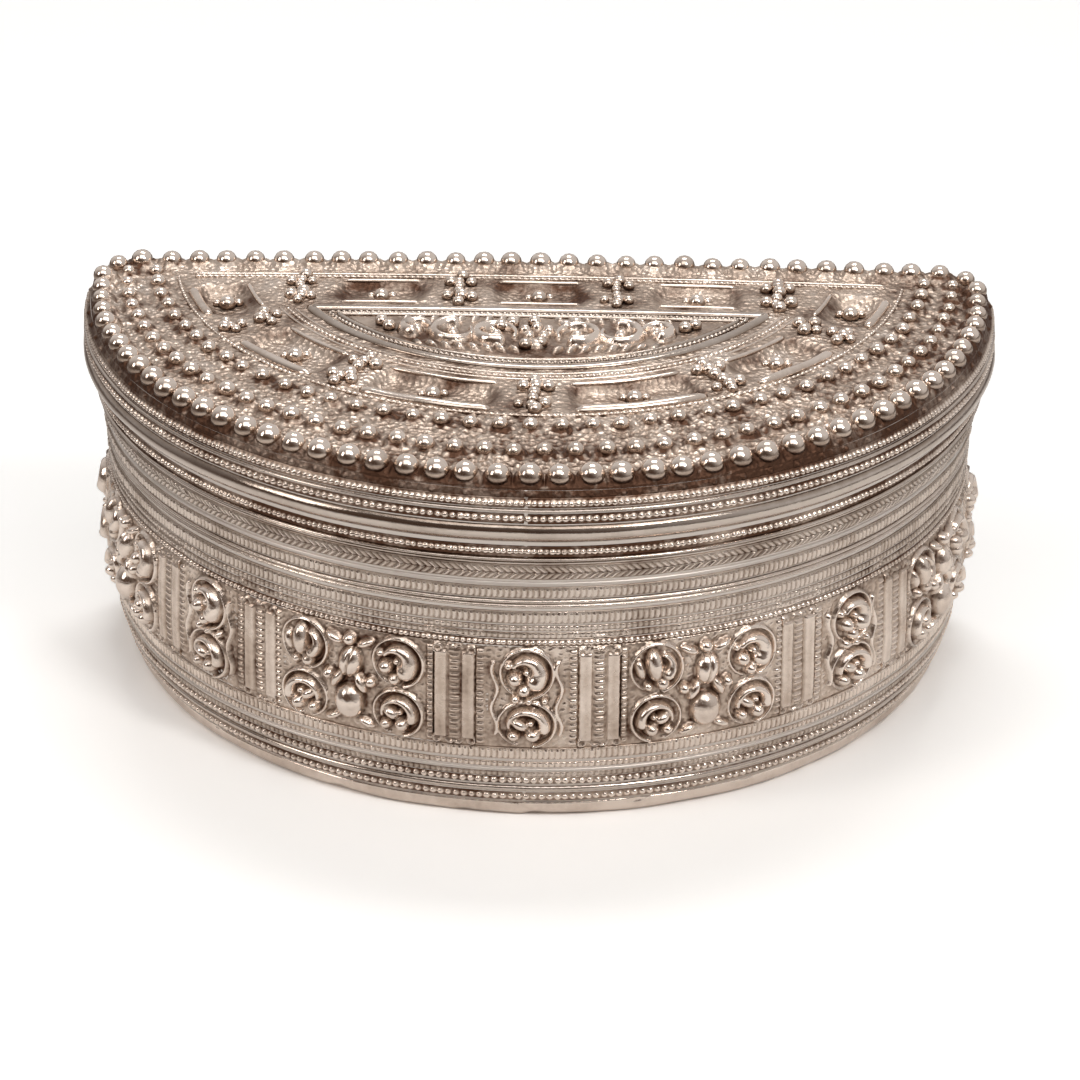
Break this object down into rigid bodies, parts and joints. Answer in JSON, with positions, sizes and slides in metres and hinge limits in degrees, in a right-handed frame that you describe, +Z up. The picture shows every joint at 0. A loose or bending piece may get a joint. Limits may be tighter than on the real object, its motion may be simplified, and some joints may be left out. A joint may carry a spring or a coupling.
{
  "type": "paan box",
  "caption": "Half-moon embossed silver box for betel and paan, flat at the back, with a close-fitting D-shaped lid that lifts straight off.",
  "frame": {"origin": "centre of the base's bounding rectangle, on the table", "axes": "+X to the right along the flat back, +Y towards the flat back, +Z up; the curved front faces -Y"},
  "size_m": [0.1296, 0.073, 0.0543],
  "materials": {
    "silver_sheet": "aged, hand-finished",
    "dark_silver": "tarnished",
    "silver_relief": "chased, dark in the hollows",
    "bright_silver": "polished by handling"
  },
  "bodies": {
    "box": {"front_wall": "silver_sheet", "back_wall": "silver_sheet", "base_plate": "dark_silver", "foot_rim": "silver_sheet", "mouth_collar": "bright_silver", "rope_band": "silver_relief", "upper_bead_band": "silver_relief", "neck_ridges": "bright_silver", "lower_bead_band": "silver_relief", "frieze_head_line": "silver_relief", "frieze_sill_line": "silver_relief", "pilaster_bars": "bright_silver", "narrow_panel_scrolls": "silver_relief", "wide_panel_scrolls": "silver_relief", "wide_panel_buds": "bright_silver", "belly_bead_band": "dark_silver", "base_ridge": "bright_silver", "base_bead_band": "dark_silver"},
    "lid": {"lid_plate": "silver_sheet", "lid_band": "silver_sheet", "lid_roll": "bright_silver", "skirt_bead_band": "silver_relief", "skirt_lip": "bright_silver", "shoulder_bead_band": "silver_relief", "shoulder_ridge": "bright_silver", "rim_bead_line": "silver_relief", "outer_beads": "bright_silver", "middle_beads": "bright_silver", "inner_beads": "silver_relief", "back_beads": "bright_silver", "cluster_beads": "bright_silver", "dish_bosses": "silver_relief", "moon_rim": "bright_silver", "moon_leaves": "silver_relief", "moon_bosses": "bright_silver"}
  },
  "joints": [
    {"name": "lid_lift", "type": "slide", "parent": "box", "child": "lid", "axis": [0, 0, 1], "range_m": [0, 0.08]}
  ]
}
